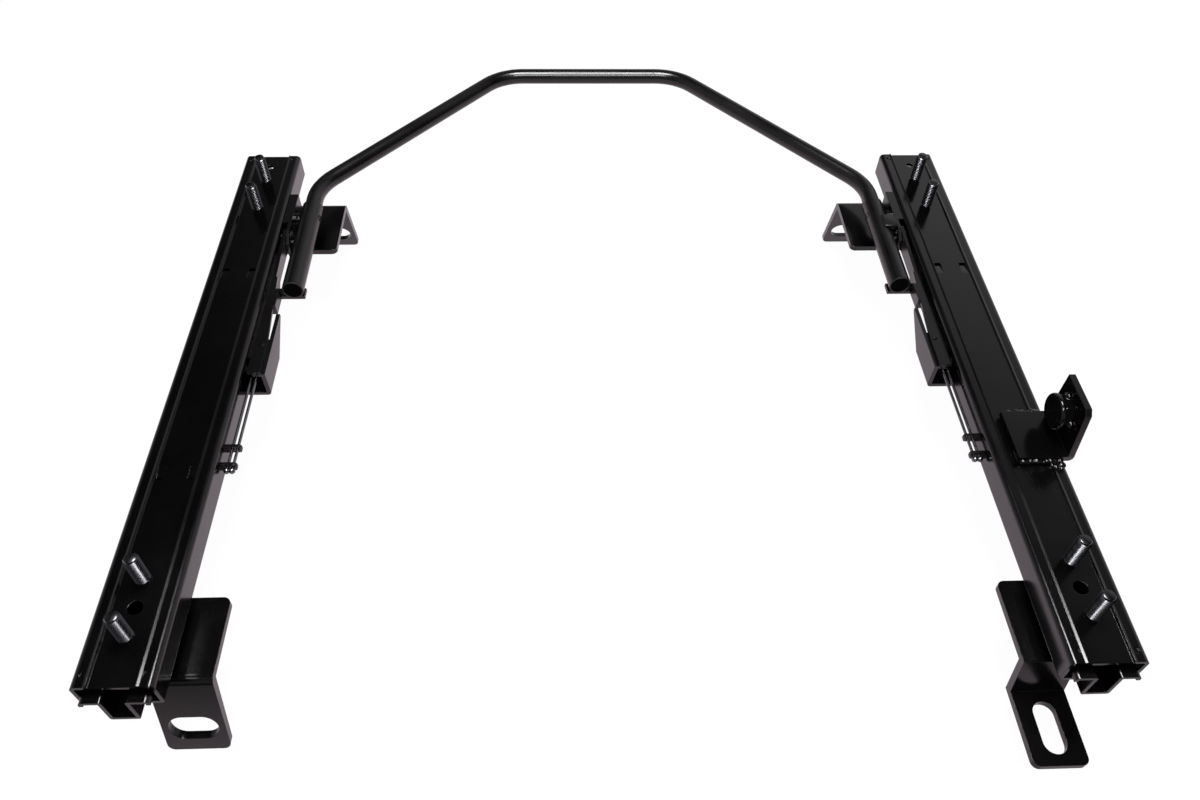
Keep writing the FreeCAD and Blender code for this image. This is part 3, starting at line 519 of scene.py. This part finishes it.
class SLIDE_OT_welds(bpy.types.Operator):
    """Adds the weld beads that hold the belt anchor to the slide"""
    bl_idname = "slide.welds"
    bl_label = "Anchor welds"

    def execute(self, context):
        low, high = ANCHOR_BOX
        rail_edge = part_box("upper_rail_right")[1][0]
        spots = []
        for edge, rise in zip((low[1], high[1]), BEAD_RISES):
            spots += bead_spots(low[0] + BEAD_INSET, rail_edge - BEAD_INSET, edge, low[2] + rise)
        for x, y, size in SPATTER:
            spots.append(((rail_edge + x * MM, low[1] + y * MM, low[2] - SPATTER_DROP),
                          (size * MM, size * MM, SPATTER_HEIGHT)))
        beads = joined(weld_drops(spots), "anchor_welds")
        bpy.ops.object.shade_smooth()
        paint(beads, MATERIALS["fastener_black"])
        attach(beads, "seat_slides")
        return {"FINISHED"}


# Handle's sleeves and lug

SLEEVE_WALL = 1.1 * MM
MOUTH_DEPTH = 0.3 * MM


class SLIDE_OT_mouths(bpy.types.Operator):
    """Adds painted shade in the open mouths of the handle's sleeves: a dark disc in each"""
    bl_idname = "slide.mouths"
    bl_label = "Sleeve mouths"

    def execute(self, context):
        for side, _ in RAILS:
            low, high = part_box(f"handle_sleeve_{side}")
            radius = (high[2] - low[2]) / 2
            # Each disc is painted shade, a dark sheet that stands for the hollow of the sleeve.
            bpy.ops.mesh.primitive_cylinder_add(vertices=40, radius=radius - SLEEVE_WALL, depth=MOUTH_DEPTH,
                                                location=((low[0] + high[0]) / 2, low[1], (low[2] + high[2]) / 2),
                                                rotation=(math.pi / 2, 0, 0))
            mouth = settle(bpy.context.object, f"sleeve_mouth_shade_{side}")
            paint(mouth, MATERIALS["painted_tube_shade"])
            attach(mouth, "release_handle")
        return {"FINISHED"}


LUG_LENGTH = 13 * MM
LUG_THICKNESS = 4 * MM
LUG_ROUND = 1.1 * MM
# The lug's middle lies ahead of the lever's pin, a little below the sleeve's top.
LUG_AHEAD = 4.5 * MM
LUG_SINK = 0.3 * MM
LUG_GAP = 0.4 * MM


class SLIDE_OT_lug(bpy.types.Operator):
    """Adds the flat lug that is welded to the right arm of the handle, over its pin"""
    bl_idname = "slide.lug"
    bl_label = "Handle lug"

    def execute(self, context):
        sleeve_low, sleeve_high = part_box("handle_sleeve_right")
        pin_low, pin_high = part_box("lever_pivot_right")
        axis = (sleeve_low[0] + sleeve_high[0]) / 2
        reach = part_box("latch_bracket_right")[0][0] - LUG_GAP - axis
        y = (pin_low[1] + pin_high[1]) / 2 + LUG_AHEAD
        bpy.ops.mesh.primitive_cube_add(size=1.0, location=(axis + reach / 2, y, sleeve_high[2] - LUG_SINK))
        lug = bpy.context.object
        lug.scale = (reach, LUG_LENGTH, LUG_THICKNESS)
        bpy.ops.object.transform_apply(scale=True)
        bevel_edges(lug, LUG_ROUND, 3)
        settle(lug, "handle_lug")
        smooth_below(40)
        paint(lug, MATERIALS["handle_coat"])
        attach(lug, "release_handle")
        return {"FINISHED"}


# Lever springs

SPRING_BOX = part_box("lever_spring_right")
LEG_STEPS = 24
BIGHT_STEPS = 12
# The wire's ends are upset to knobs, which sit this far in from its end.
KNOB_SIZE = (1.9 * MM, 1.7 * MM, 1.9 * MM)
KNOB_INSET = 1.6 * MM


class SLIDE_OT_springs(bpy.types.Operator):
    """Adds the lever springs, wire hairpins between the slide and the lever"""
    bl_idname = "slide.springs"
    bl_label = "Lever springs"

    def execute(self, context):
        low, high = SPRING_BOX
        radius = (high[2] - low[2]) / 2
        turn = (high[0] - low[0]) / 2 - radius
        middle, z = (low[0] + high[0]) / 2, (low[2] + high[2]) / 2
        rear, front = low[1], high[1] - radius - turn
        leg = [(middle - turn, rear + (front - rear) * k / LEG_STEPS) for k in range(LEG_STEPS)]
        bight = [(middle - turn * math.cos(a), front + turn * math.sin(a))
                 for a in (math.pi * k / BIGHT_STEPS for k in range(BIGHT_STEPS + 1))]
        route = leg + bight + [(2 * middle - x, y) for x, y in reversed(leg)]
        for side, sign in RAILS:
            bpy.ops.curve.primitive_bezier_curve_add()
            wire = bpy.context.object
            wire.data.splines.clear()
            spline = wire.data.splines.new("POLY")
            spline.points.add(len(route) - 1)
            for point, (x, y) in zip(spline.points, route):
                point.co = (sign * x, y, z, 1)
            wire.data.bevel_depth = radius
            wire.data.bevel_resolution = 4
            wire.data.use_fill_caps = True
            choose(wire)
            bpy.ops.object.convert(target="MESH")
            wire = bpy.context.object
            knobs = weld_drops([((sign * x, rear + KNOB_INSET, z), KNOB_SIZE)
                                for x in (middle - turn, middle + turn)])
            piece = joined([wire] + knobs, f"spring_wire_{side}")
            smooth_below(50)
            paint(piece, MATERIALS["spring_wire"])
            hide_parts(f"lever_spring_{side}")
            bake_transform(piece)
        return {"FINISHED"}


# Stage

FLOOR_SIZE = 6.0
FLOOR_DROP = 0.2 * MM
# What the black coats mirror of the paper: dark as far as the first place along Y, bright from the second.
MIRROR_DARK_Y, MIRROR_BRIGHT_Y = -0.31, -0.19
MIRROR_DARK, MIRROR_BRIGHT = 0.06, 0.9
MIRROR_TINT = (1.0, 0.87, 0.95, 1)
WHITE = (1, 1, 1, 1)
# How much of what the camera sees of the paper is its own glow, the rest being lit and shadowed.
GLOW_SHARE = 0.97


class SLIDE_OT_stage(bpy.types.Operator):
    """Adds the floor, the lights, the world and the camera"""
    bl_idname = "slide.stage"
    bl_label = "Stage"

    def execute(self, context):
        make_floor(context.scene.slide_sizes)
        make_lights()
        make_world(context.scene)
        make_camera(context.scene)
        context.scene.view_settings.view_transform = "Standard"
        return {"FINISHED"}


def make_floor(sizes):
    """White paper: nearly shadowless to the camera, and a graded light to the coats that mirror it."""
    bpy.ops.mesh.primitive_plane_add(size=FLOOR_SIZE, location=(0, 0, FLOOR_Z - FLOOR_DROP))
    floor = bpy.context.object
    floor.name = "floor"
    material, tree, place = empty_material("white_paper_sweep")
    rays = add_node(tree, "ShaderNodeLightPath").outputs
    paper = add_node(tree, "ShaderNodeBsdfDiffuse", {"Color": tuple(sizes.floor_colour) + (1.0,)})
    ahead = add_node(tree, "ShaderNodeSeparateXYZ", None, {"Vector": place}).outputs["Y"]
    mirrored = add_node(tree, "ShaderNodeMapRange",
                        {"From Min": MIRROR_DARK_Y, "From Max": MIRROR_BRIGHT_Y,
                         "To Min": MIRROR_DARK, "To Max": MIRROR_BRIGHT}, {"Value": ahead})
    strength = add_node(tree, "ShaderNodeMix", {"B": 1.0},
                        {"Factor": rays["Is Camera Ray"], "A": mirrored.outputs["Result"]}, data_type="FLOAT")
    tint = add_node(tree, "ShaderNodeMix", {"A": MIRROR_TINT, "B": WHITE},
                    {"Factor": rays["Is Camera Ray"]}, data_type="RGBA")
    glow = add_node(tree, "ShaderNodeEmission", None,
                    {"Color": tint.outputs["Result"], "Strength": strength.outputs["Result"]})
    seen = add_node(tree, "ShaderNodeMath", {1: GLOW_SHARE}, {0: rays["Is Camera Ray"]}, operation="MULTIPLY")
    share = add_node(tree, "ShaderNodeMath", None, {0: seen.outputs[0], 1: rays["Is Glossy Ray"]},
                     operation="MAXIMUM")
    mix = add_node(tree, "ShaderNodeMixShader", None,
                   {0: share.outputs[0], 1: paper.outputs["BSDF"], 2: glow.outputs["Emission"]})
    add_node(tree, "ShaderNodeOutputMaterial", None, {"Surface": mix.outputs["Shader"]})
    paint(floor, material)


# Name, place, what it points at, its two sides and its power in watts.
LAMPS = (
    ("bar_softbox", (0.0, 0.13, 1.3), (0.0, 0.13, 0.0), 0.5, 0.45, 24.0),
    ("camera_softbox", (0.0, -0.75, 1.3), (0.0, 0.0, 0.0), 0.8, 0.3, 16.0),
)


def make_lights():
    for name, place, target, width, height, power in LAMPS:
        bpy.ops.object.light_add(type="AREA", location=place)
        lamp = bpy.context.object
        lamp.name = name
        lamp.data.shape = "RECTANGLE"
        lamp.data.size = width
        lamp.data.size_y = height
        lamp.data.energy = power
        lamp.rotation_euler = (Vector(target) - Vector(place)).to_track_quat("-Z", "Y").to_euler()


# The studio as the coats mirror it. Each wall fades in along one axis of the view's direction: that
# axis, the directions where the fade starts and ends, and the brightness at both.
RIGHT_WALL = ("X", -0.35, 0.3, 0.02, 1.0)
LOW_WALL = ("Z", 0.8, 0.58, 0.05, 0.6)
FAR_WALL = ("Y", 0.0, 0.4, 0.03, 1.0)
NEAR_WALL = ("Y", -0.3, -0.8, 0.0, 0.22)
LEFT_WALL = ("X", -0.45, -0.85, 0.0, 0.4)
FILL_LIGHT = 0.6


def make_world(scene):
    """White where it is seen; in reflections bright low at the far right, grey low behind and at the left."""
    world = bpy.data.worlds.new("studio")
    scene.world = world
    world.use_nodes = True
    tree = world.node_tree
    tree.nodes.clear()
    way = add_node(tree, "ShaderNodeTexCoord").outputs["Generated"]
    parts = add_node(tree, "ShaderNodeSeparateXYZ", None, {"Vector": way}).outputs
    rays = add_node(tree, "ShaderNodeLightPath").outputs
    right, low, far, near, left = (
        add_node(tree, "ShaderNodeMapRange",
                 {"From Min": first, "From Max": last, "To Min": dim, "To Max": bright},
                 {"Value": parts[axis]}).outputs["Result"]
        for axis, first, last, dim, bright in (RIGHT_WALL, LOW_WALL, FAR_WALL, NEAR_WALL, LEFT_WALL))
    aside = add_node(tree, "ShaderNodeMath", None, {0: right, 1: low}, operation="MULTIPLY").outputs[0]
    window = add_node(tree, "ShaderNodeMath", None, {0: aside, 1: far}, operation="MULTIPLY").outputs[0]
    walls = add_node(tree, "ShaderNodeMath", None, {0: near, 1: left}, operation="MAXIMUM").outputs[0]
    glossy = add_node(tree, "ShaderNodeMath", None, {0: window, 1: walls}, operation="MAXIMUM").outputs[0]
    strength = add_node(tree, "ShaderNodeMix", {"A": FILL_LIGHT},
                        {"Factor": rays["Is Glossy Ray"], "B": glossy}, data_type="FLOAT")
    seen = add_node(tree, "ShaderNodeMix", {"B": 1.0},
                    {"Factor": rays["Is Camera Ray"], "A": strength.outputs["Result"]}, data_type="FLOAT")
    glow = add_node(tree, "ShaderNodeBackground", {"Color": WHITE}, {"Strength": seen.outputs["Result"]})
    add_node(tree, "ShaderNodeOutputWorld", None, {"Surface": glow.outputs["Background"]})


# The camera that the photograph's perspective gives.
CAMERA_PLACE = Vector((-27.386, -406.761, 439.52)) * MM
CAMERA_PITCH, CAMERA_YAW, CAMERA_ROLL = (math.radians(a) for a in (49.588, 3.569, -1.971))
CAMERA_LENS = 28.84
CAMERA_SENSOR = 36.0


def make_camera(scene):
    forward = Vector((math.sin(CAMERA_YAW) * math.cos(CAMERA_PITCH),
                      math.cos(CAMERA_YAW) * math.cos(CAMERA_PITCH), -math.sin(CAMERA_PITCH)))
    level = forward.cross(Vector((0, 0, 1))).normalized()
    below = forward.cross(level)
    right = math.cos(CAMERA_ROLL) * level + math.sin(CAMERA_ROLL) * below
    up = math.sin(CAMERA_ROLL) * level - math.cos(CAMERA_ROLL) * below
    bpy.ops.object.camera_add(location=CAMERA_PLACE)
    camera = bpy.context.object
    camera.rotation_euler = Matrix((right, up, -forward)).transposed().to_euler()
    camera.data.sensor_width = CAMERA_SENSOR
    camera.data.lens = CAMERA_LENS
    scene.camera = camera


# Add-on


class SlideSizes(bpy.types.PropertyGroup):
    stud_radius: FloatProperty(name="Stud radius", description="Outer radius of the studs' thread",
                               default=4 * MM, unit="LENGTH")
    stud_pitch: FloatProperty(name="Stud pitch", description="Distance between two turns of the thread",
                              default=1.25 * MM, unit="LENGTH")
    floor_colour: FloatVectorProperty(name="Floor", description="Colour of the floor", size=3,
                                      default=(0.86, 0.86, 0.86), subtype="COLOR")


class SLIDE_PT_panel(bpy.types.Panel):
    bl_label = "Seat slide"
    bl_idname = "SLIDE_PT_panel"
    bl_space_type = "VIEW_3D"
    bl_region_type = "UI"
    bl_category = "Seat slide"

    def draw(self, context):
        sizes = context.scene.slide_sizes
        for name in ("stud_radius", "stud_pitch", "floor_colour"):
            self.layout.prop(sizes, name)
        for operator in OPERATORS:
            self.layout.operator(operator.bl_idname)


OPERATORS = (SLIDE_OT_studs, SLIDE_OT_weld_nut, SLIDE_OT_welds, SLIDE_OT_mouths, SLIDE_OT_lug,
             SLIDE_OT_springs, SLIDE_OT_stage)
CLASSES = (SlideSizes, SLIDE_PT_panel) + OPERATORS


def register():
    for item in CLASSES:
        bpy.utils.register_class(item)
    bpy.types.Scene.slide_sizes = PointerProperty(type=SlideSizes)


def unregister():
    del bpy.types.Scene.slide_sizes
    for item in reversed(CLASSES):
        bpy.utils.unregister_class(item)


def main():
    register()
    make_materials()
    dress_frame()
    bpy.ops.slide.studs()
    bpy.ops.slide.weld_nut()
    bpy.ops.slide.welds()
    bpy.ops.slide.mouths()
    bpy.ops.slide.lug()
    bpy.ops.slide.springs()
    bpy.ops.slide.stage()


if __name__ == "__main__":
    main()
